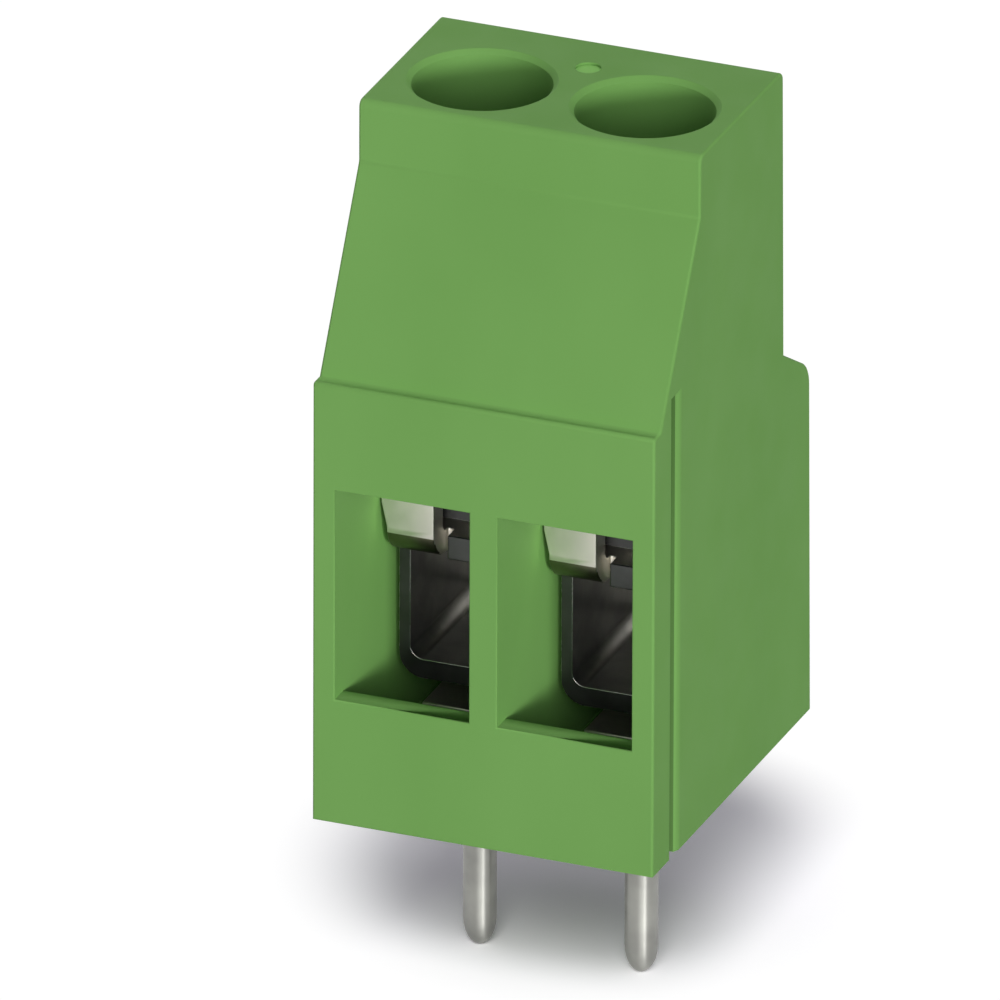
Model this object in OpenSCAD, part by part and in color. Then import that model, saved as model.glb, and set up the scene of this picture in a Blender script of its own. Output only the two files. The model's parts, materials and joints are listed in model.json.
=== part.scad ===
// Two-pole screw terminal for a printed circuit board, with rising clamp cages.
// X runs along the row of poles, the wire entries face -Y and the screws face +Z.
// The origin is midway between the two solder pins, on the face that sits on the board.

/* [Poles] */
// Distance between the two poles, and between their solder pins
pitch = 5.08; // [4.9:0.01:7.62]
// Width of a wire entry, and of the chamber behind it
entry_w = 4.2; // [4.1:0.05:4.25]
// Height of a wire entry
entry_h = 6.7; // [6.4:0.1:7.4]
// Height of the entry's sill above the board
sill_h = 3.95; // [3.6:0.05:4.5]
// Thickness of the sill from front to back
sill_t = 0.7; // [0.5:0.05:1.2]

/* [Housing] */
// Height of the housing above the board
height = 21.5; // [20.5:0.1:26]
// Depth of the housing at the board
base_depth = 12.55; // [12.2:0.05:14]
// Distance from the front face back to the line of the screws and pins
axis_setback = 6.2; // [6:0.05:6.5]
// Outer wall beside each chamber
side_wall = 0.69; // [0.6:0.01:1.5]
// Height of the upright lower part of the front
front_h = 14; // [13:0.1:15]
// Depth of the step where the sloping front starts
front_step = 0.5; // [0.2:0.05:0.8]
// Height of the upright band above the sloping front
brow_h = 1.95; // [1.2:0.05:3]
// Depth of the top face
top_depth = 6.55; // [6.4:0.05:7]
// Wall in front of the screwdriver bores at the top
brow_wall = 0.63; // [0.5:0.01:0.9]
// Height at which the stepped back turns in
back_step_h = 12.35; // [12.2:0.05:13.5]
// Slope of the step in the back, below level, in degrees
back_step_slope = 28; // [10:1:30]
// Rounding of the step's outer edge
back_step_r = 1; // [0.3:0.1:1.2]
// Draft of the back faces, in degrees
draft = 1.2; // [0:0.1:1.5]
// Rounding of the long outer edges
edge_r = 0.25; // [0.1:0.05:0.35]
// Thickness of the floor
floor_t = 1; // [0.8:0.1:1.2]
// Thickness of the wall behind the chambers
back_wall = 1.25; // [0.9:0.05:1.5]

/* [Side groove] */
// Width of the groove in the right side
groove_w = 0.5; // [0.3:0.05:0.8]
// Depth of the groove
groove_d = 0.3; // [0.15:0.05:0.4]
// Height of the groove's top end
groove_h = 14.7; // [10:0.1:15]
// Distance from the front face to the groove
groove_setback = 1.35; // [1:0.05:3]
// Bevel along the groove's rear edge
groove_bevel = 0.2; // [0.05:0.05:0.25]

/* [Screwdriver bores] */
// Diameter of the bores
bore_d = 4.13; // [4.1:0.01:4.3]
// Bevel around the mouth of each bore
mouth_bevel = 0.15; // [0.05:0.05:0.3]
// How much narrower the bore is around the screw's head, on the radius
head_step = 0.1; // [0.08:0.01:0.15]
// How far the retaining bead above the screw's head stands in from there
bead = 0.11; // [0.08:0.01:0.15]
// Height of the retaining bead
bead_h = 0.4; // [0.2:0.05:0.8]
// Diameter of the round gate mark on the top
gate_d = 0.75; // [0.4:0.05:0.9]
// Depth of the gate mark
gate_depth = 0.08; // [0.04:0.01:0.2]

/* [Clamp screw] */
// Thread diameter
screw_d = 3; // [2.5:0.1:3]
// Height of the head
head_h = 2; // [1.6:0.1:2.4]
// Width of the slot
slot_w = 0.8; // [0.6:0.05:1]
// Depth of the slot
slot_depth = 1; // [0.6:0.05:1.1]
// Bevel at the tip
tip_bevel = 0.4; // [0.2:0.05:0.6]

/* [Clamp cage] */
// Outer width of the cage
cage_w = 3.8; // [3.75:0.01:3.85]
// Thickness of the side walls
cage_wall = 0.35; // [0.3:0.01:0.38]
// Thickness of the floor that lifts the wire
cage_floor = 0.6; // [0.4:0.05:0.8]
// Distance from the front of the cage to the screw's axis
cage_reach = 1.65; // [1.6:0.01:1.75]
// Length of the threaded top plate from front to back
plate_len = 3.8; // [3.75:0.01:3.85]
// Thickness of the threaded top plate
plate_t = 2.2; // [1.6:0.1:2.4]
// Height of the side walls behind the top plate, above the cage's floor
tray_wall_h = 4.15; // [1:0.05:4.3]
// Outer bend radius of the cage
cage_bend = 0.75; // [0.6:0.05:0.85]
// How far the cage rises from open to closed
travel = 3.3; // [2:0.1:3.4]

/* [Contact] */
// Thickness of the strip
strip_t = 0.75; // [0.6:0.05:0.85]
// Space for the wire between the cage's floor and the current bar when open
wire_gap = 3.65; // [3.5:0.05:3.9]
// Distance from the front of the current bar to the screw's axis
bar_reach = 2.25; // [2.2:0.01:2.3]
// Depth of the wide head at the front of the current bar
bar_head = 0.45; // [0.3:0.01:0.48]
// Inside radius of the strip's bends
bend_in = 0.25; // [0.15:0.05:0.25]
// Width of the guide tab at its root
tab_w = 1.49; // [1:0.01:1.6]
// Height of the guide tab above the current bar
tab_h = 1.75; // [1:0.05:2]
// How much the guide tab widens to the left above its bend
tab_flare = 0.17; // [0:0.01:0.25]
// Width of the bend relief beside the tab
relief_w = 0.2; // [0.1:0.05:0.3]

/* [Solder pins] */
// Diameter of the solder pins
pin_d = 1; // [0.8:0.05:1.1]
// Length of the solder pins below the board's face
pin_len = 6.2; // [3:0.1:7]
// Length of the rounded-off tip
pin_tip = 0.9; // [0.5:0.1:1.5]

/* [Hidden] */
$fn = 48;
cut = 0.5;                  // how far cutting shapes run past a face

// Clearances
head_clear = 0.065;         // screw head in its bore, on the radius
thread_clear = 0.05;        // screw in the cage's thread, on the radius
tip_clear = 0.05;           // screw tip above the current bar
cage_clear = 0.2;           // cage to the chamber's walls
bar_clear = 0.1;            // current bar inside the cage
head_side_clear = 0.08;     // bar head to the chamber's sides
plate_clear = 0.4;          // top plate above the current bar when open
upright_clear = 0.25;       // contact's upright to the wall behind it
cage_back_clear = 0.4;      // cage to the contact's upright
pin_clear = 0.05;           // solder pin's root in the housing's floor, on the radius
pin_root = 0.1;             // how much the pin's tapered root widens up to the strip, on the radius
sill_drop = 0.5;            // cage's floor below the sill when open

// Housing
width = pitch + entry_w + 2 * side_wall;
front_y = -axis_setback;
back_y = front_y + base_depth;
chamber_back = back_y - back_wall;
brow_y = -bore_d / 2 - brow_wall;
top_back_y = brow_y + top_depth;
step_in_y = top_back_y + (height - back_step_h) * tan(draft);

// Heights of what lies in a chamber, with the cage fully open
cage_floor_z = sill_h - sill_drop;
bar_z = cage_floor_z + wire_gap;
bar_top = bar_z + strip_t;
plate_z = bar_top + plate_clear;
tray_top = cage_floor_z + tray_wall_h;
chamber_top = plate_z + plate_t + travel + cage_clear;
head_z = chamber_top + cage_clear;
bead_z = head_z + head_h + cage_clear;

// Places from front to back
bar_front = -bar_reach;
upright_back = chamber_back - upright_clear;
cage_back = upright_back - strip_t - cage_back_clear;
strip_w = cage_w - 2 * cage_wall - 2 * bar_clear;
head_w = entry_w - 2 * head_side_clear;
bend_y = bar_front + bar_head;
tab_left = -head_w / 2 + tab_flare;
tab_right = tab_left + tab_w;

// One rounded corner of an outline, at q between p and s
function corner(p, q, s, r, steps = 8) =
    r <= 0 ? [q] :
    let (
        u = (p - q) / norm(p - q),
        v = (s - q) / norm(s - q),
        half = acos(u * v) / 2,
        centre = q + (u + v) / norm(u + v) * r / sin(half),
        from = q + u * r / tan(half) - centre,
        to = q + v * r / tan(half) - centre,
        start = atan2(from.y, from.x),
        turn = atan2(from.x * to.y - from.y * to.x, from * to)
    )
    [for (i = [0:steps]) centre + r * [cos(start + turn * i / steps), sin(start + turn * i / steps)]];

// An outline whose corners are [x, y, radius]
function rounded(corners) =
    let (n = len(corners), at = [for (c = corners) [c.x, c.y]])
    [for (i = [0:n - 1]) each corner(at[(i + n - 1) % n], at[i], at[(i + 1) % n], corners[i].z)];

// Extrudes an outline drawn in Y and Z along X, centred on X = 0
module across(length) {
    rotate([90, 0, 90]) translate([0, 0, -length / 2]) linear_extrude(length) children();
}

// Extrudes an outline drawn in X and Z along Y, from y0 to y1
module back_from(y0, y1) {
    translate([0, y1, 0]) rotate([90, 0, 0]) linear_extrude(y1 - y0) children();
}

// A box from one corner to the opposite one
module block(low, high) {
    translate(low) cube(high - low);
}

// Side view of the housing
module housing_outline() {
    lean = tan(draft);
    step_out_z = back_step_h - (back_y - step_in_y) * tan(back_step_slope);
    polygon(rounded([
        [front_y, 0, 0],
        [back_y, 0, 0],
        [back_y - step_out_z * lean, step_out_z, back_step_r],
        [step_in_y, back_step_h, 0],
        [top_back_y, height, edge_r],
        [brow_y, height, edge_r],
        [brow_y, height - brow_h, edge_r],
        [front_y + front_step, front_h, 0],
        [front_y, front_h, edge_r / 2],
    ]));
}

// Wire entry, chamber and screwdriver bore of one pole
module pole_cavity() {
    half = entry_w / 2;
    entry_top = sill_h + entry_h;
    tray_top_closed = tray_top + travel + cage_clear;
    plate_reach = plate_len / 2 + cage_clear;
    block([-half, front_y - cut, sill_h], [half, chamber_back, entry_top]);
    block([-half, front_y + sill_t, floor_t], [half, chamber_back, entry_top]);
    block([-half, -plate_reach, sill_h], [half, chamber_back, tray_top_closed]);
    block([-half, -plate_reach, sill_h], [half, plate_reach, chamber_top]);
    screwdriver_bore();
    translate([0, 0, -cut]) cylinder(d = pin_d + 2 * (pin_root + pin_clear), h = floor_t + 2 * cut);
}

// Bore above a chamber: drafted around the screw's head, then a retaining bead, then straight
module screwdriver_bore() {
    r = bore_d / 2;
    head_r = r - head_step;
    low_r = head_r + (bead_z - chamber_top) * tan(draft);
    rotate_extrude() polygon([
        [0, chamber_top - cut],
        [low_r, chamber_top - cut],
        [low_r, chamber_top],
        [head_r, bead_z],
        [head_r - bead, bead_z + bead_h / 2],
        [r, bead_z + bead_h],
        [r, height - mouth_bevel],
        [r + 2 * mouth_bevel, height + mouth_bevel],
        [0, height + mouth_bevel],
    ]);
}

// Narrow groove in the right side, with a bevel along its rear edge
module side_groove() {
    face = width / 2;
    y0 = front_y + groove_setback;
    y1 = y0 + groove_w;
    translate([0, 0, -cut]) linear_extrude(groove_h + cut) polygon([
        [face - groove_d, y0],
        [face + cut, y0],
        [face + cut, y1 + groove_bevel],
        [face, y1 + groove_bevel],
        [face - groove_bevel / 2, y1],
        [face - groove_d, y1],
    ]);
}

module housing() {
    gate_y = (bore_d / 2 + top_back_y) / 2 - bore_d / 4;
    color([0.45, 0.63, 0.35]) difference() {
        across(width) housing_outline();
        for (side = [-1, 1]) translate([side * pitch / 2, 0, 0]) pole_cavity();
        side_groove();
        translate([0, gate_y, height - gate_depth]) cylinder(d = gate_d, h = cut);
    }
}

// Left part of the current bar's front, bent up to guide the wire
module guide_tab() {
    back = bend_y - bend_in;
    front = back - strip_t;
    top = bar_top + tab_h;
    bend_top = bar_top + bend_in;
    overlap = relief_w / 4;
    intersection() {
        across(2 * head_w) polygon(rounded([
            [bend_y + overlap, bar_z, 0],
            [bend_y + overlap, bar_top, 0],
            [back, bar_top, bend_in],
            [back, top, 0],
            [front, top, 0],
            [front, bar_z, strip_t + bend_in],
        ]));
        back_from(front - cut, bend_y + cut) polygon(rounded([
            [tab_left, bar_z - cut, 0],
            [tab_right, bar_z - cut, 0],
            [tab_right, top, edge_r],
            [tab_left - tab_flare, top, edge_r],
            [tab_left - tab_flare, (bend_top + top) / 2, 0],
            [tab_left, bend_top, 0],
        ]));
    }
}

// Bent strip: current bar with its head and tab, upright, foot and solder pin
module contact() {
    foot_front = -pin_d;
    upright = upright_back - strip_t;
    bend_out = strip_t + bend_in;
    color([0.82, 0.81, 0.77]) {
        difference() {
            union() {
                across(strip_w) polygon(rounded([
                    [foot_front, floor_t, 0],
                    [upright_back, floor_t, bend_out],
                    [upright_back, bar_top, bend_out],
                    [bar_front, bar_top, 0],
                    [bar_front, bar_z, 0],
                    [upright, bar_z, bend_in],
                    [upright, floor_t + strip_t, bend_in],
                    [foot_front, floor_t + strip_t, 0],
                ]));
                block([0, bar_front, bar_z], [head_w / 2, bend_y, bar_top]);
            }
            tab_cut();
        }
        guide_tab();
        solder_pin();
    }
}

// What is cut from the current bar's front to free the tab, with a relief beside its bend
module tab_cut() {
    low = bar_z - cut;
    high = bar_top + cut;
    block([-head_w, bar_front - cut, low], [tab_right + relief_w, bend_y, high]);
    block([tab_right, bend_y - cut, low], [tab_right + relief_w, bend_y + relief_w / 2, high]);
}

// Round pin with a tapered root in the housing's floor and a rounded-off tip
module solder_pin() {
    r = pin_d / 2;
    rotate_extrude() polygon(concat(
        [[0, floor_t + strip_t / 2], [r + pin_root, floor_t + strip_t / 2], [r + pin_root, floor_t], [r, 0]],
        [for (a = [0:15:90]) [r * cos(a), -pin_len + pin_tip * (1 - sin(a))]]
    ));
}

// Folded loop: floor, side walls and threaded top plate
module cage() {
    half = cage_w / 2;
    inner = half - cage_wall;
    top = plate_z + plate_t;
    color([0.55, 0.55, 0.54]) difference() {
        back_from(-plate_len / 2, cage_back) polygon(rounded([
            [-half, cage_floor_z - cage_floor, cage_bend],
            [half, cage_floor_z - cage_floor, cage_bend],
            [half, top, edge_r],
            [-half, top, edge_r],
        ]));
        back_from(-plate_len / 2 - cut, cage_back + cut) polygon(rounded([
            [-inner, cage_floor_z, cage_bend - cage_wall],
            [inner, cage_floor_z, cage_bend - cage_wall],
            [inner, plate_z, 0],
            [-inner, plate_z, 0],
        ]));
        block([-cage_w, -plate_len / 2 - cut, 0], [cage_w, -cage_reach, plate_z]);
        block([-cage_w, plate_len / 2, tray_top], [cage_w, cage_back + cut, top + cut]);
        translate([0, 0, plate_z - cut]) cylinder(d = screw_d + 2 * thread_clear, h = plate_t + 2 * cut);
    }
}

// Slotted screw that turns in place with its tip on the current bar
module screw() {
    head_r = bore_d / 2 - head_step - head_clear;
    tip_z = bar_top + tip_clear;
    r = screw_d / 2;
    color([0.72, 0.72, 0.7]) difference() {
        rotate_extrude() polygon([
            [0, tip_z],
            [r - tip_bevel, tip_z],
            [r, tip_z + tip_bevel],
            [r, head_z],
            [head_r, head_z],
            [head_r, head_z + head_h],
            [0, head_z + head_h],
        ]);
        block(
            [-bore_d, -slot_w / 2, head_z + head_h - slot_depth],
            [bore_d, slot_w / 2, head_z + head_h + cut]
        );
    }
}

module contact_left() { translate([-pitch / 2, 0, 0]) contact(); }
module contact_right() { translate([pitch / 2, 0, 0]) contact(); }
module cage_left() { translate([-pitch / 2, 0, 0]) cage(); }
module cage_right() { translate([pitch / 2, 0, 0]) cage(); }
module screw_left() { translate([-pitch / 2, 0, 0]) screw(); }
module screw_right() { translate([pitch / 2, 0, 0]) screw(); }

housing();
contact_left();
contact_right();
cage_left();
cage_right();
screw_left();
screw_right();
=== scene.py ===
import json
from math import ceil, cos, pi, radians, sin, tau

import bmesh
import bpy
from mathutils import Matrix, Vector


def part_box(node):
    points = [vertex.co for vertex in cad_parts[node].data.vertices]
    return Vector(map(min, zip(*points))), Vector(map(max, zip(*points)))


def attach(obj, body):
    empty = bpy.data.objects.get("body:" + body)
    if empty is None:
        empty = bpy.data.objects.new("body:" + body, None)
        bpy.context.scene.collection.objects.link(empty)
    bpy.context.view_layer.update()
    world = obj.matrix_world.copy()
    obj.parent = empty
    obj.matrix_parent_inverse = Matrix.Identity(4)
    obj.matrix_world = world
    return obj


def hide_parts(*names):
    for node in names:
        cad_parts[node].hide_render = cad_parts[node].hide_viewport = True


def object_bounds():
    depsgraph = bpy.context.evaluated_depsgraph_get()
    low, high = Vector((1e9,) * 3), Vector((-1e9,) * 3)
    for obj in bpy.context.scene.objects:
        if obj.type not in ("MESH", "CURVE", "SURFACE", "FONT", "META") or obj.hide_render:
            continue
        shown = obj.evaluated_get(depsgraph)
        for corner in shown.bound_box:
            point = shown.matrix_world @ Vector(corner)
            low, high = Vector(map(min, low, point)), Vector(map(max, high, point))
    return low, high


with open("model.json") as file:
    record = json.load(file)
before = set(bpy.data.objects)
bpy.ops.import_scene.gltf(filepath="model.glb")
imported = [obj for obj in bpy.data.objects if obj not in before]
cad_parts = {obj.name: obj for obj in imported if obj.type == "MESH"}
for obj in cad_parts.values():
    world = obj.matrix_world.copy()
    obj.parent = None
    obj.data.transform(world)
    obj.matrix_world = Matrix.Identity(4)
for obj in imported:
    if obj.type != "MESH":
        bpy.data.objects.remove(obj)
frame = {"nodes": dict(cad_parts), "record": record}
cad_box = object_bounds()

# Looks of a two-pole screw terminal. Metres, in the CAD frame: X along the poles,
# -Y out of the wire entries, +Z up along the screws, board face at z = 0.

MM = 0.001
CAD_LOW = cad_box[0]
HOUSING_LOW, HOUSING_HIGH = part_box("housing")
SIDES = ("left", "right")

# Camera: from the front right and above, with almost parallel rays
CAMERA_AZIMUTH = radians(21.712)    # turned from straight in front towards the right
CAMERA_ELEVATION = radians(24.806)
CAMERA_ROLL = radians(-0.188)
CAMERA_TARGET = Vector((-1.695, -0.635, 8.482)) * MM
VIEW_WIDTH = 29.10 * MM             # what the picture's width spans at the target
CAMERA_LENS = 1600.0                # focal length and sensor width in millimetres
CAMERA_SENSOR = 36.0

# Roundings that moulding, shearing and plating leave on the edges
OUTER_EDGE = 0.20 * MM
ENTRY_EDGE = 0.12 * MM
BOARD_EDGE = 0.06 * MM
MOUTH_EDGE = 0.05 * MM
STRIP_EDGE = 0.06 * MM
CAGE_EDGE = 0.17 * MM

# Clamp screw, M3
THREAD_PITCH = 0.5 * MM
THREAD_CREST = 1.5 * MM             # radius of the crest
THREAD_DEPTH = 0.27 * MM
CREST_SHARE = 1 / 8                 # shares of the pitch that the crest and one flank take
FLANK_SHARE = 5 / 16
TIP_BEVEL = 0.4 * MM
NECK_LENGTH = 0.6 * MM              # plain neck between thread and head
HEAD_HEIGHT = 2.0 * MM
HEAD_EDGE = 0.15 * MM
SLOT_WIDTH = 0.8 * MM
SLOT_DEPTH = 1.0 * MM
SCREW_SEGMENTS = 64
THREAD_ROWS = 8                     # rings in one turn's rise

# Bores, cut finer than the CAD's facets
BORE_SEGMENTS = 128
BORE_OVERCUT = 0.002 * MM           # on the radius

# Where one piece changes its finish: painted shade in the groove and on the bars' front ends, a
# painted highlight on the gate mark, painted light on the chambers' walls
GROOVE_REAR = HOUSING_LOW.y + 1.85 * MM     # rear wall of the groove in the right side
GROOVE_DEPTH = 0.35 * MM                    # the groove and a little more
GATE_FLOOR = HOUSING_HIGH.z - 0.08 * MM     # floor of the round gate mark on the top
WALL_AREA = 10 * MM * MM                    # a chamber's wall is larger, a bore's facet smaller
PIN_SHADE = 0.05 * MM                       # the pins' own finish starts this far below the board face
BAR_FRONT = -2.25 * MM                      # sheared front end of the current bars

# How far a face has to turn towards an axis to get a finish, as the cosine of the angle. The bar's end
# and the tab's bend get painted shade, a cage's rounded edge painted glints.
SQUARE = 0.98                       # faces square to the axis
END_TURN = 0.3                      # the rounded end of a bar
TAB_TURN = 0.12                     # the guide tab's downward bend
EDGE_TURN = 0.1                     # the rounded edge of a cage

# Mesh work
SAME_POINT = 0.0005 * MM            # vertices closer than this are one
FLAT = radians(0.3)                 # faces that turn less than this are one
CORNER = radians(25)                # edges that turn more than this are rounded
CREASE = radians(28)                # edges of a screw that turn more than this stay sharp

# Most of a noise texture's values lie between these
NOISE_LOW = 0.3
NOISE_HIGH = 0.7

# Floor and surroundings, where 1 is full white
AMBIENT = 0.12                      # what the surroundings give
FLOOR_BOUNCE = 0.25                 # the floor's white as it lights the part
FLOOR_SEEN = 1.14                   # the floor's white as the camera sees it
FLOOR_CLEAR = 1.02                  # and what the camera sees where the floor has cleared
FLOOR_REACH = 400 * MM
SHADOW_MIDDLE = Vector((-1.4, 6, 0)) * MM
CLEAR_FROM = 5.5 * MM               # the shadow thins out from this far round its middle
CLEAR_TO = 10.5 * MM                # and is gone at this distance

# Soft lamps: name, azimuth from the front towards the right, elevation, level, and how wide
# the lamp looks, angles in degrees. Level 1 gives a white face square to the lamp the value 1.
PART_LAMPS = (
    ("side_light", 43, 7, 0.48, 9),
    ("front_light", 27, 14, 0.62, 40),
    ("top_light", 180, 68, 0.30, 50),
    ("back_light", 230, 22, 0.30, 60),
)
FLOOR_LAMP = ("floor_light", 18, 42, 0.86, 26)
FLOOR_FILL = ("floor_fill", 40, 72, 0.26, 110)
FILL_COLOUR = (0.95, 0.88, 1.08)
LAMP_DISTANCE = 200 * MM


# ---------------------------------------------------------------- helpers

def new_object(name, data):
    made = bpy.data.objects.new(name, data)
    bpy.context.scene.collection.objects.link(made)
    return made


def object_from(builder, name):
    mesh = bpy.data.meshes.new(name)
    builder.to_mesh(mesh)
    builder.free()
    return new_object(name, mesh)


def ring(builder, segments, axis_x, z, radius_at):
    """A ring of points round an upright axis. radius_at takes the angle as a share of a turn."""
    points = []
    for i in range(segments):
        turn = i / segments
        radius = radius_at(turn)
        point = (axis_x + radius * cos(tau * turn), radius * sin(tau * turn), z)
        points.append(builder.verts.new(point))
    return points


def turned_rings(builder, segments, axis_x, profile):
    """Round rings from (radius, z) points."""
    rings = []
    for radius, z in profile:
        rings.append(ring(builder, segments, axis_x, z, lambda turn: radius))
    return rings


def skin(builder, rings):
    """Joins each ring to the next, from the lowest up, and closes both ends."""
    for below, above in zip(rings, rings[1:]):
        for i in range(len(below)):
            j = (i + 1) % len(below)
            builder.faces.new((below[i], below[j], above[j], above[i]))
    builder.faces.new(list(reversed(rings[0])))
    builder.faces.new(rings[-1])


def apply_modifiers(piece):
    bpy.context.view_layer.update()
    graph = bpy.context.evaluated_depsgraph_get()
    mesh = bpy.data.meshes.new_from_object(piece.evaluated_get(graph))
    piece.modifiers.clear()
    piece.data = mesh


def cut_away(piece, tool):
    """Subtracts a tool object from a piece and deletes the tool."""
    modifier = piece.modifiers.new("cut", "BOOLEAN")
    modifier.operation = "DIFFERENCE"
    modifier.solver = "EXACT"
    modifier.object = tool
    apply_modifiers(piece)
    drop_slivers(piece)
    bpy.data.objects.remove(tool)


def drop_slivers(piece):
    """Joins points that coincide, and drops points at which only two faces fold together."""
    builder = bmesh.new()
    builder.from_mesh(piece.data)
    join_points(builder)
    folds = [v for v in builder.verts if len(v.link_edges) == 2]
    bmesh.ops.dissolve_verts(builder, verts=folds)
    builder.to_mesh(piece.data)
    builder.free()


def join_points(builder):
    bmesh.ops.remove_doubles(builder, verts=builder.verts, dist=SAME_POINT)


def join_flat_faces(builder):
    bmesh.ops.dissolve_limit(
        builder, angle_limit=FLAT, verts=builder.verts, edges=builder.edges
    )


def solid_copy(node, name):
    """A new object with a CAD node's shape, its vertices joined and its flat faces whole."""
    builder = bmesh.new()
    builder.from_mesh(frame["nodes"][node].data)
    join_points(builder)
    join_flat_faces(builder)
    return object_from(builder, name)


def round_edges(piece, segments, size_at):
    """Rounds each corner edge by what size_at gives for the edge's middle. An edge of size 0
    stays sharp."""
    builder = bmesh.new()
    builder.from_mesh(piece.data)
    join_flat_faces(builder)
    weight = builder.edges.layers.float.new("bevel_weight_edge")
    sizes = {}
    for edge in builder.edges:
        if len(edge.link_faces) != 2 or edge.calc_face_angle(0) < CORNER:
            continue
        start, end = (v.co for v in edge.verts)
        sizes[edge] = size_at((start + end) / 2)
        edge.smooth = sizes[edge] > 0
    largest = max(sizes.values())
    for edge, size in sizes.items():
        edge[weight] = size / largest
    for face in builder.faces:
        face.smooth = True
    builder.to_mesh(piece.data)
    builder.free()
    bevel = piece.modifiers.new("rounding", "BEVEL")
    bevel.limit_method = "WEIGHT"
    bevel.width = largest
    bevel.segments = segments
    bevel.miter_outer = "MITER_ARC"
    apply_modifiers(piece)
    drop_slivers(piece)
    normals = piece.modifiers.new("normals", "WEIGHTED_NORMAL")
    normals.keep_sharp = True
    apply_modifiers(piece)


def shade_smooth(piece):
    """Shades a piece smooth between its creases."""
    builder = bmesh.new()
    builder.from_mesh(piece.data)
    for edge in builder.edges:
        edge.smooth = len(edge.link_faces) == 2 and edge.calc_face_angle(0) < CREASE
    for face in builder.faces:
        face.smooth = True
    builder.to_mesh(piece.data)
    builder.free()


def near(value, target, reach=0.02 * MM):
    return abs(value - target) < reach


def finish_piece(piece, node, body, materials, material_at):
    """Puts a piece in its CAD node's place, under its body, with the materials given, and
    material_at gives each face the number of its own."""
    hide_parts(node)
    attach(piece, body)
    piece.data.materials.clear()
    for material in materials:
        piece.data.materials.append(material)
    for face in piece.data.polygons:
        face.material_index = material_at(face)


# ---------------------------------------------------------------- materials

def new_material(name):
    material = bpy.data.materials.new(name)
    material.use_nodes = True
    return material, material.node_tree.nodes["Principled BSDF"]


def node(material, kind, **settings):
    made = material.node_tree.nodes.new(kind)
    for name, value in settings.items():
        setattr(made, name, value)
    return made


def link(material, source, output, target, socket):
    material.node_tree.links.new(source.outputs[output], target.inputs[socket])


def noise(material, scale, detail, stretch=(1, 1, 1)):
    """Noise in object space. Scale is in features per millimetre."""
    place = node(material, "ShaderNodeTexCoord")
    mapping = node(material, "ShaderNodeMapping")
    mapping.inputs["Scale"].default_value = [s / MM for s in stretch]
    texture = node(material, "ShaderNodeTexNoise")
    texture.inputs["Scale"].default_value = scale
    texture.inputs["Detail"].default_value = detail
    link(material, place, "Object", mapping, "Vector")
    link(material, mapping, "Vector", texture, "Vector")
    return texture


def spread(material, texture, low, high):
    """Maps a noise's middle range onto low to high."""
    ramp = node(material, "ShaderNodeMapRange")
    ramp.inputs["From Min"].default_value = NOISE_LOW
    ramp.inputs["From Max"].default_value = NOISE_HIGH
    ramp.inputs["To Min"].default_value = low
    ramp.inputs["To Max"].default_value = high
    link(material, texture, "Fac", ramp, "Value")
    return ramp


def bump(material, shader, texture, height, strength):
    """Bump whose full noise range is height metres."""
    made = node(material, "ShaderNodeBump")
    made.inputs["Distance"].default_value = height
    made.inputs["Strength"].default_value = strength
    link(material, texture, "Fac", made, "Height")
    link(material, made, "Normal", shader, "Normal")


def colour_socket(sockets, name):
    return next(s for s in sockets if s.name == name and s.type == "RGBA")


def paint(material, shader, texture, first, second):
    """A base colour that wanders between two colours."""
    mix = node(material, "ShaderNodeMix", data_type="RGBA")
    colour_socket(mix.inputs, "A").default_value = (*first, 1)
    colour_socket(mix.inputs, "B").default_value = (*second, 1)
    links = material.node_tree.links
    links.new(spread(material, texture, 0, 1).outputs["Result"], mix.inputs[0])
    links.new(colour_socket(mix.outputs, "Result"), shader.inputs["Base Color"])


def wear(material, shader, scale, polished, dull):
    """A roughness that wanders between two values."""
    sheen = spread(material, noise(material, scale, 3), polished, dull)
    link(material, sheen, "Result", shader, "Roughness")


def green_plastic(name, tone):
    """Moulded plastic with faint flow clouds, whose colours are multiplied by a tone. A tone other
    than 1 gives a copy with painted light or shade.
    """
    material, shader = new_material(name)
    cloud = noise(material, 0.16, 3, stretch=(1, 1, 0.45))
    low = [tone * c for c in (0.146, 0.318, 0.082)]
    high = [tone * c for c in (0.162, 0.344, 0.093)]
    paint(material, shader, cloud, low, high)
    shader.inputs["Specular IOR Level"].default_value = 0.03
    wear(material, shader, 0.6, 0.50, 0.62)
    bump(material, shader, noise(material, 14, 2), 0.004 * MM, 0.35)
    return material


def outer_plastic():
    return green_plastic("green_plastic", 1)


def groove_shade_plastic():
    """The rear wall of the narrow groove, with painted shade: the plastic at 0.55 of its tone, for the
    shadow in the groove.
    """
    return green_plastic("plastic_groove_painted_shade", 0.55)


def gate_highlight_plastic():
    """The floor of the round gate mark, with a painted highlight: the plastic at 1.8 times its tone.
    """
    return green_plastic("plastic_gate_painted_highlight", 1.8)


def chamber_light_plastic():
    """The chambers' side walls, which are thin, with painted light: the plastic at 1.28 times its
    tone, standing in for light coming through the walls.
    """
    return green_plastic("plastic_chamber_painted_light", 1.28)


def metal(name, dark, light, polished, dull, grain, stretch, relief, metallic=1.0):
    """A metal between two tones and two roughnesses. Its fine grain has grain features per
    millimetre, stretched along X, Y and Z."""
    material, shader = new_material(name)
    shader.inputs["Metallic"].default_value = metallic
    paint(material, shader, noise(material, 0.8, 3), dark, light)
    wear(material, shader, 2, polished, dull)
    bump(material, shader, noise(material, grain, 2, stretch), 0.0015 * MM, relief)
    return material


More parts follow.
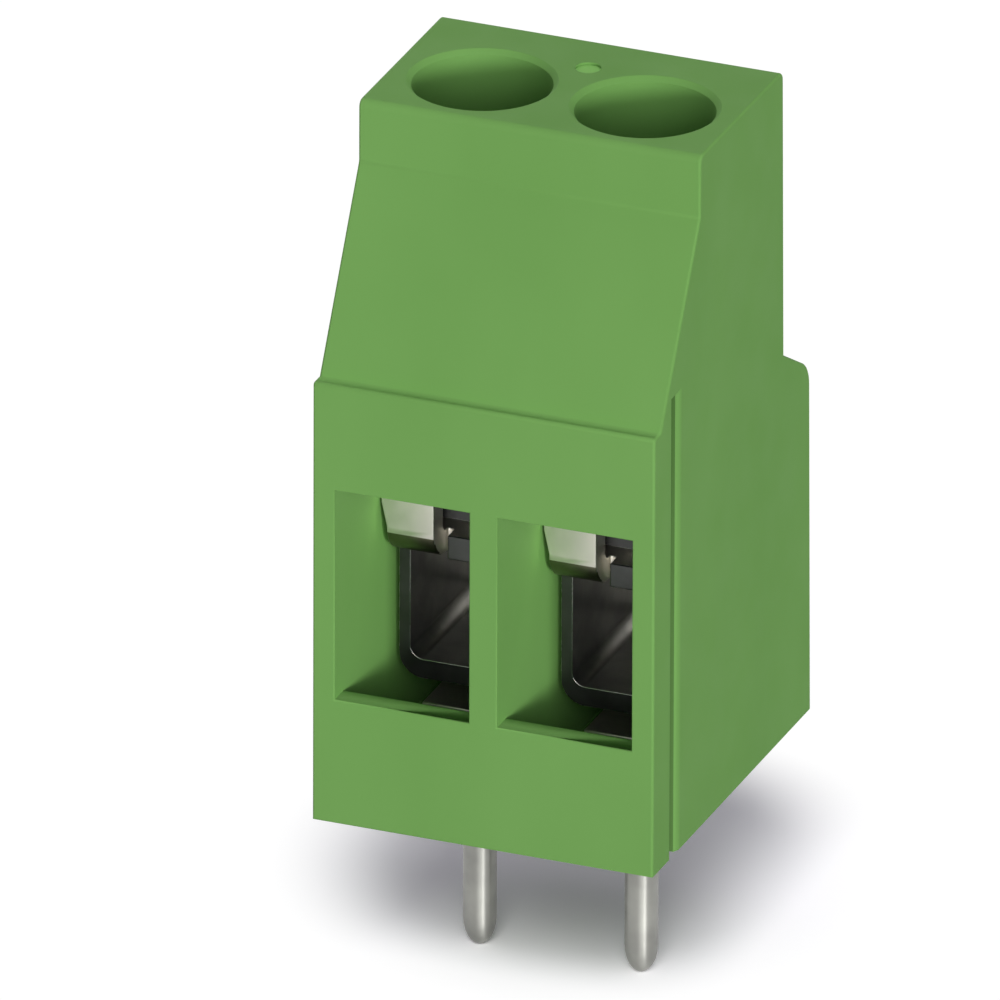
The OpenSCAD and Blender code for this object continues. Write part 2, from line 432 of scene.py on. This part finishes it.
def tinned_strip():
    return metal(
        "tinned_strip", (0.68, 0.65, 0.59), (0.78, 0.75, 0.67), polished=0.32, dull=0.40,
        grain=9, stretch=(1, 1, 0.35), relief=0.15, metallic=0.85,
    )


# Painted shade: a dark copy of the tin for the guide tab's downward bend, where it faces down into the
# dark.
def tab_bend_shade_tin():
    return metal(
        "tab_bend_shade_tin", (0.14, 0.13, 0.09), (0.24, 0.23, 0.17), polished=0.34, dull=0.42,
        grain=9, stretch=(1, 1, 1), relief=0.1,
    )


def tinned_pin():
    """Tin on a round pin that was ground across its length, so that highlights run along it."""
    material = metal(
        "tinned_pin", (0.28, 0.28, 0.26), (0.38, 0.38, 0.35), polished=0.36, dull=0.44,
        grain=9, stretch=(1, 1, 0.2), relief=0.03,
    )
    shader = material.node_tree.nodes["Principled BSDF"]
    shader.inputs["Anisotropic"].default_value = 0.8
    shader.inputs["Anisotropic Rotation"].default_value = 0.25
    return material


# Sheared edges: dull unplated metal, darkened far below that with painted shade where the bars' ends
# and the cages' edges face the dark.
def sheared_and_shaded_edge():
    return metal(
        "sheared_and_shaded_edge", (0.07, 0.07, 0.07), (0.10, 0.10, 0.10), polished=0.40, dull=0.50,
        grain=9, stretch=(1, 1, 0.2), relief=0.4,
    )


def cage_steel():
    return metal(
        "cage_steel", (0.26, 0.26, 0.26), (0.36, 0.36, 0.35), polished=0.32, dull=0.40,
        grain=8, stretch=(1, 0.15, 1), relief=0.1,
    )


# Painted highlight: near white metal on the cages' rounded edges, to make them glint.
def painted_glint_edge():
    return metal(
        "painted_glint_edge", (0.90, 0.90, 0.87), (0.96, 0.96, 0.93), polished=0.24, dull=0.30,
        grain=9, stretch=(1, 1, 1), relief=0.05,
    )


def screw_steel():
    return metal(
        "screw_steel", (0.34, 0.34, 0.33), (0.42, 0.42, 0.40), polished=0.26, dull=0.36,
        grain=12, stretch=(0.2, 0.2, 1), relief=0.15,
    )


# ---------------------------------------------------------------- housing

def housing_rounding(middle):
    if near(middle.z, HOUSING_LOW.z):
        return BOARD_EDGE
    if near(abs(middle.x), HOUSING_HIGH.x):
        return OUTER_EDGE
    if near(middle.y, HOUSING_LOW.y):
        return ENTRY_EDGE
    if near(middle.z, HOUSING_HIGH.z):
        return MOUTH_EDGE
    return 0


def housing_material(face):
    """Number of a face's plastic: 0 outer, 1 painted groove shade, 2 painted gate highlight, 3 painted
    chamber light.
    """
    middle, normal = face.center, face.normal
    groove_floor = HOUSING_HIGH.x - GROOVE_DEPTH
    in_groove = groove_floor < middle.x < HOUSING_HIGH.x and near(middle.y, GROOVE_REAR)
    in_chamber = abs(middle.x) < groove_floor and face.area > WALL_AREA
    if in_groove and normal.y < -SQUARE:
        return 1
    if near(middle.z, GATE_FLOOR) and normal.z > SQUARE:
        return 2
    if in_chamber and abs(normal.x) > SQUARE:
        return 3
    return 0


def bore_tool(mount):
    """Fills a CAD bore, and flares at 45 degrees from the end of its wall to above the top."""
    radius = mount["dims"]["r_mm"] * MM + BORE_OVERCUT
    half = mount["dims"]["length_mm"] * MM / 2
    middle = mount["pos_m"][2]
    wall_top = middle + half
    flare = 2 * (HOUSING_HIGH.z - wall_top)
    profile = (
        (radius, middle - half),
        (radius, wall_top),
        (radius + flare, wall_top + flare),
    )
    builder = bmesh.new()
    skin(builder, turned_rings(builder, BORE_SEGMENTS, mount["pos_m"][0], profile))
    return object_from(builder, "bore_tool")


def make_housing():
    piece = solid_copy("housing", "green_housing")
    mounts = {m["name"]: m for m in frame["record"]["mounts"]}
    for side in SIDES:
        cut_away(piece, bore_tool(mounts["screwdriver_bore_" + side]))
    round_edges(piece, 4, housing_rounding)
    plastics = (outer_plastic(), groove_shade_plastic(), gate_highlight_plastic(), chamber_light_plastic())
    finish_piece(piece, "housing", "block", plastics, housing_material)


# ---------------------------------------------------------------- contacts

def contact_material(face):
    """Number of a face's finish: 0 tinned strip, 1 sheared end darkened by painted shade, 2 tinned
    pin, 3 painted shade on the tab's bend.
    """
    middle, normal = face.center, face.normal
    if middle.z < -PIN_SHADE:
        return 2
    if normal.y < -END_TURN and near(middle.y, BAR_FRONT, STRIP_EDGE):
        return 1
    if normal.z < -TAB_TURN and middle.y < BAR_FRONT - STRIP_EDGE:
        return 3
    return 0


def make_contact(side, finishes):
    piece = solid_copy("contact_" + side, "contact_strip_" + side)
    round_edges(piece, 2, lambda middle: STRIP_EDGE)
    finish_piece(piece, "contact_" + side, "block", finishes, contact_material)


# ---------------------------------------------------------------- clamp cages

def cage_material(face):
    """Number of a face's finish: 0 plated steel, 1 sheared edge darkened by painted shade, 2 painted
    glint on the rounded edges.
    """
    if abs(face.normal.y) > SQUARE:
        return 1
    if abs(face.normal.y) > EDGE_TURN:
        return 2
    return 0


def make_cage(side, finishes):
    piece = solid_copy("cage_" + side, "clamp_cage_" + side)
    round_edges(piece, 2, lambda middle: CAGE_EDGE)
    finish_piece(piece, "cage_" + side, side + "_cage", finishes, cage_material)


# ---------------------------------------------------------------- clamp screws

def thread_radius(turn, z):
    """Radius of a right-hand thread at an angle, as a share of a turn, and a height."""
    phase = (z / THREAD_PITCH - turn) % 1
    if phase < CREST_SHARE:
        depth = 0
    elif phase < CREST_SHARE + FLANK_SHARE:
        depth = (phase - CREST_SHARE) / FLANK_SHARE
    elif phase < 1 - FLANK_SHARE:
        depth = 1
    else:
        depth = (1 - phase) / FLANK_SHARE
    return THREAD_CREST - THREAD_DEPTH * depth


def thread_rings(builder, axis_x, low_z, high_z):
    """Rings of the thread, from a bevelled tip to where it runs out into the neck."""
    rows = ceil((high_z - low_z) / THREAD_PITCH * THREAD_ROWS)
    rings = []
    for row in range(rows + 1):
        z = low_z + (high_z - low_z) * row / rows
        tip = THREAD_CREST - TIP_BEVEL + (z - low_z)
        runout = THREAD_CREST - THREAD_DEPTH + (high_z - z)

        def radius_at(turn):
            return min(thread_radius(turn, z), tip, runout)

        rings.append(ring(builder, SCREW_SEGMENTS, axis_x, z, radius_at))
    return rings


def head_rings(builder, axis_x, radius, low_z, high_z):
    """Rings of the neck's upper end and of the head, which has two bevelled edges."""
    profile = (
        (THREAD_CREST - THREAD_DEPTH, low_z),
        (radius - HEAD_EDGE, low_z),
        (radius, low_z + HEAD_EDGE),
        (radius, high_z - HEAD_EDGE),
        (radius - HEAD_EDGE, high_z),
    )
    return turned_rings(builder, SCREW_SEGMENTS, axis_x, profile)


def slot_tool(axis_x, radius, top):
    builder = bmesh.new()
    bmesh.ops.create_cube(builder, size=1)
    size = (4 * radius, SLOT_WIDTH, 2 * SLOT_DEPTH)
    bmesh.ops.scale(builder, vec=size, verts=builder.verts)
    bmesh.ops.translate(builder, vec=(axis_x, 0, top), verts=builder.verts)
    return object_from(builder, "slot_tool")


def make_screw(side, steel):
    low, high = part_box("screw_" + side)
    axis_x = (low.x + high.x) / 2
    radius = (high.x - low.x) / 2
    head_low = high.z - HEAD_HEIGHT
    builder = bmesh.new()
    rings = thread_rings(builder, axis_x, low.z, head_low - NECK_LENGTH)
    rings += head_rings(builder, axis_x, radius, head_low, high.z)
    skin(builder, rings)
    piece = object_from(builder, "slotted_screw_" + side)
    cut_away(piece, slot_tool(axis_x, radius, high.z))
    shade_smooth(piece)
    finish_piece(
        piece, "screw_" + side, side + "_screw", (steel,), lambda face: 0
    )


# ---------------------------------------------------------------- floor and world

def seen_directly(tree):
    """A node that gives 1 to camera, mirror and glass rays, and 0 to the rays that light."""
    path = tree.nodes.new("ShaderNodeLightPath")
    total = path.outputs["Is Camera Ray"]
    for kind in ("Is Glossy Ray", "Is Transmission Ray"):
        either = tree.nodes.new("ShaderNodeMath")
        either.operation = "MAXIMUM"
        tree.links.new(total, either.inputs[0])
        tree.links.new(path.outputs[kind], either.inputs[1])
        total = either.outputs["Value"]
    return either


def white(material, value):
    """A diffuse shader that reflects a share of the light, the same for every colour."""
    made = node(material, "ShaderNodeBsdfDiffuse")
    made.inputs["Color"].default_value = (value, value, value, 1)
    return made


def bright_white(material, value):
    """As white, for a value above 1, which one diffuse shader can't reach."""
    half = white(material, value / 2)
    made = node(material, "ShaderNodeAddShader")
    link(material, half, "BSDF", made, 0)
    link(material, half, "BSDF", made, 1)
    return made


def distance_from_shadow(material):
    """Gives 0 near the middle of the part's shadow, and 1 past its rim."""
    place = node(material, "ShaderNodeTexCoord")
    apart = node(material, "ShaderNodeVectorMath", operation="DISTANCE")
    apart.inputs[1].default_value = SHADOW_MIDDLE + Vector((0, 0, CAD_LOW.z))
    made = node(material, "ShaderNodeMapRange", interpolation_type="SMOOTHSTEP")
    made.inputs["From Min"].default_value = CLEAR_FROM
    made.inputs["From Max"].default_value = CLEAR_TO
    link(material, place, "Object", apart, 0)
    link(material, apart, "Value", made, "Value")
    return made


def white_floor():
    """One white for light that bounces. The camera and mirror images see it pure white, with
    the part's shadow near it."""
    material, shader = new_material("white_floor")
    material.node_tree.nodes.remove(shader)
    output = material.node_tree.nodes["Material Output"]
    clear = node(material, "ShaderNodeEmission")
    clear.inputs["Strength"].default_value = FLOOR_CLEAR
    seen = node(material, "ShaderNodeMixShader")
    link(material, distance_from_shadow(material), "Result", seen, "Fac")
    link(material, bright_white(material, FLOOR_SEEN), "Shader", seen, 1)
    link(material, clear, "Emission", seen, 2)
    choice = node(material, "ShaderNodeMixShader")
    link(material, seen_directly(material.node_tree), "Value", choice, "Fac")
    link(material, white(material, FLOOR_BOUNCE), "BSDF", choice, 1)
    link(material, seen, "Shader", choice, 2)
    link(material, choice, "Shader", output, "Surface")
    return material


def make_floor():
    builder = bmesh.new()
    corners = []
    for turn_x, turn_y in ((-1, -1), (1, -1), (1, 1), (-1, 1)):
        corner = (turn_x * FLOOR_REACH, turn_y * FLOOR_REACH, CAD_LOW.z)
        corners.append(builder.verts.new(corner))
    builder.faces.new(corners)
    floor = object_from(builder, "floor")
    floor.data.materials.append(white_floor())
    return floor


def make_world():
    """White surroundings. The camera sees them at strength 1, and they light at AMBIENT."""
    world = bpy.data.worlds.new("studio")
    bpy.context.scene.world = world
    world.use_nodes = True
    tree = world.node_tree
    background = tree.nodes["Background"]
    background.inputs["Color"].default_value = (1, 1, 1, 1)
    level = tree.nodes.new("ShaderNodeMapRange")
    level.inputs["To Min"].default_value = AMBIENT
    tree.links.new(seen_directly(tree).outputs["Value"], level.inputs["Value"])
    tree.links.new(level.outputs["Result"], background.inputs["Strength"])


# ---------------------------------------------------------------- lamps and camera

def towards(azimuth, elevation):
    """Direction out from the part. Azimuth is from the front towards the right."""
    flat = cos(elevation)
    return Vector((sin(azimuth) * flat, -cos(azimuth) * flat, sin(elevation)))


def make_lamp(name, azimuth, elevation, level, width):
    lamp = bpy.data.lights.new(name, "SUN")
    lamp.energy = level * pi
    lamp.angle = radians(width)
    carrier = new_object(name, lamp)
    direction = towards(radians(azimuth), radians(elevation))
    carrier.rotation_mode = "QUATERNION"
    carrier.rotation_quaternion = direction.to_track_quat("Z", "Y")
    carrier.location = direction * LAMP_DISTANCE
    return carrier


def link_light(lamp, floor, state):
    """Lets a lamp light the floor only, or all but the floor."""
    group = bpy.data.collections.new(lamp.name + "_light")
    group.objects.link(floor)
    group.collection_objects[0].light_linking.link_state = state
    lamp.light_linking.receiver_collection = group


def make_lamps(floor):
    for settings in PART_LAMPS:
        link_light(make_lamp(*settings), floor, "EXCLUDE")
    link_light(make_lamp(*FLOOR_LAMP), floor, "INCLUDE")
    fill = make_lamp(*FLOOR_FILL)
    fill.data.color = FILL_COLOUR
    link_light(fill, floor, "INCLUDE")


def make_camera():
    right = Vector((cos(CAMERA_AZIMUTH), sin(CAMERA_AZIMUTH), 0))
    back = towards(CAMERA_AZIMUTH, CAMERA_ELEVATION)
    up = back.cross(right)
    image_right = right * cos(CAMERA_ROLL) - up * sin(CAMERA_ROLL)
    image_up = back.cross(image_right)
    distance = VIEW_WIDTH * CAMERA_LENS / CAMERA_SENSOR
    data = bpy.data.cameras.new("camera")
    data.lens = CAMERA_LENS
    data.sensor_width = CAMERA_SENSOR
    data.clip_start = distance / 100
    data.clip_end = distance * 10
    camera = new_object("camera", data)
    turn = Matrix((image_right, image_up, back)).transposed().to_4x4()
    camera.matrix_world = Matrix.Translation(CAMERA_TARGET + back * distance) @ turn
    bpy.context.scene.camera = camera


def make_studio():
    bpy.context.scene.view_settings.view_transform = "Standard"
    make_world()
    make_lamps(make_floor())
    make_camera()


make_studio()
make_housing()
shaded_sheared = sheared_and_shaded_edge()
contact_finishes = (tinned_strip(), shaded_sheared, tinned_pin(), tab_bend_shade_tin())
cage_finishes = (cage_steel(), shaded_sheared, painted_glint_edge())
steel = screw_steel()
for side in SIDES:
    make_contact(side, contact_finishes)
    make_cage(side, cage_finishes)
    make_screw(side, steel)
